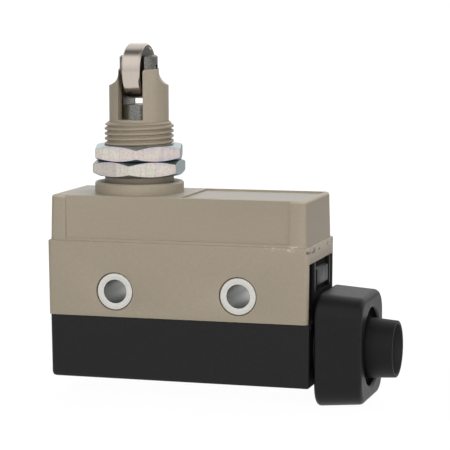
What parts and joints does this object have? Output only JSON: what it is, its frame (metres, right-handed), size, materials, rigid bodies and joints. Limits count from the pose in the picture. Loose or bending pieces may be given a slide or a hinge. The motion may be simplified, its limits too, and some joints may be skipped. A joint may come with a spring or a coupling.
{
  "type": "enclosed snap-action limit switch",
  "caption": "Enclosed snap-action switch: tan case, black terminal cover with cable gland, and a spring-loaded cross-roller plunger in a threaded head with lock nuts.",
  "frame": {"origin": "midway between the two mounting holes, at the middle of the case's depth", "axes": "+X along the cable gland, away from the case; +Y along the mounting holes, out of the back face; +Z along the plunger, out of the head"},
  "size_m": [0.0692, 0.0214, 0.0704],
  "materials": {
    "tan_moulding": "fine matt moulding",
    "black_moulding": "fine matt moulding",
    "brown_moulding": "satin thermoset",
    "red_moulding": "satin moulding",
    "seal_rubber": "matt rubber",
    "zinc_plate": "bright zinc plate with pale passivation",
    "bright_tube": "bright nickel plate",
    "sintered_steel": "grey sintered steel",
    "ground_steel": "ground steel",
    "spring_steel": "drawn steel",
    "contact_copper": "rolled copper alloy",
    "contact_silver": "bright silver",
    "terminal_brass": "rolled brass"
  },
  "bodies": {
    "housing": {"case": "tan_moulding", "threaded_sleeve": "tan_moulding", "lower_lock_nut": "zinc_plate", "upper_lock_nut": "zinc_plate", "left_mounting_tube": "bright_tube", "right_mounting_tube": "bright_tube", "terminal_cover": "black_moulding", "cover_gasket": "seal_rubber", "gland_cap": "black_moulding", "gland_washer": "spring_steel", "cable_seal": "seal_rubber", "plunger_seal": "seal_rubber", "spring_seat": "spring_steel", "switch_base": "brown_moulding", "switch_lid": "brown_moulding", "common_terminal": "terminal_brass", "normally_open_terminal": "terminal_brass", "normally_closed_terminal": "terminal_brass", "normally_open_contact": "contact_silver", "normally_closed_contact": "contact_silver", "terminal_screws": "zinc_plate"},
    "plunger": {"plunger": "sintered_steel", "roller_axle": "spring_steel", "pin_keeper": "spring_steel", "return_spring": "spring_steel", "overtravel_spring": "spring_steel"},
    "roller": {"roller": "ground_steel"},
    "pusher": {"push_pin": "spring_steel", "switch_button": "red_moulding"},
    "blade": {"snap_blade": "contact_copper", "moving_contact": "contact_silver"}
  },
  "joints": [
    {"name": "plunger_slide", "type": "slide", "parent": "housing", "child": "plunger", "axis": [0, 0, -1], "range_m": [0, 0.0045], "stiffness_N_per_m": 1500, "springref_m": -0.003, "deforming": ["return_spring", "overtravel_spring"]},
    {"name": "roller_spin", "type": "hinge", "parent": "plunger", "child": "roller", "pos_m": [-0.0109, 0, 0.0433], "axis": [1, 0, 0], "continuous": true},
    {"name": "pusher_slide", "type": "slide", "parent": "housing", "child": "pusher", "axis": [0, 0, -1], "range_m": [0, 0.0005]},
    {"name": "blade_swing", "type": "hinge", "parent": "housing", "child": "blade", "pos_m": [-0.0172, 0, 0.00825], "axis": [0, 1, 0], "range_deg": [0, 4.2]}
  ],
  "couplings": [
    {"joint": "pusher_slide", "follows": "plunger_slide", "ratio": 0.1},
    {"joint": "blade_swing", "follows": "plunger_slide", "rad_per_m": 15.873}
  ]
}
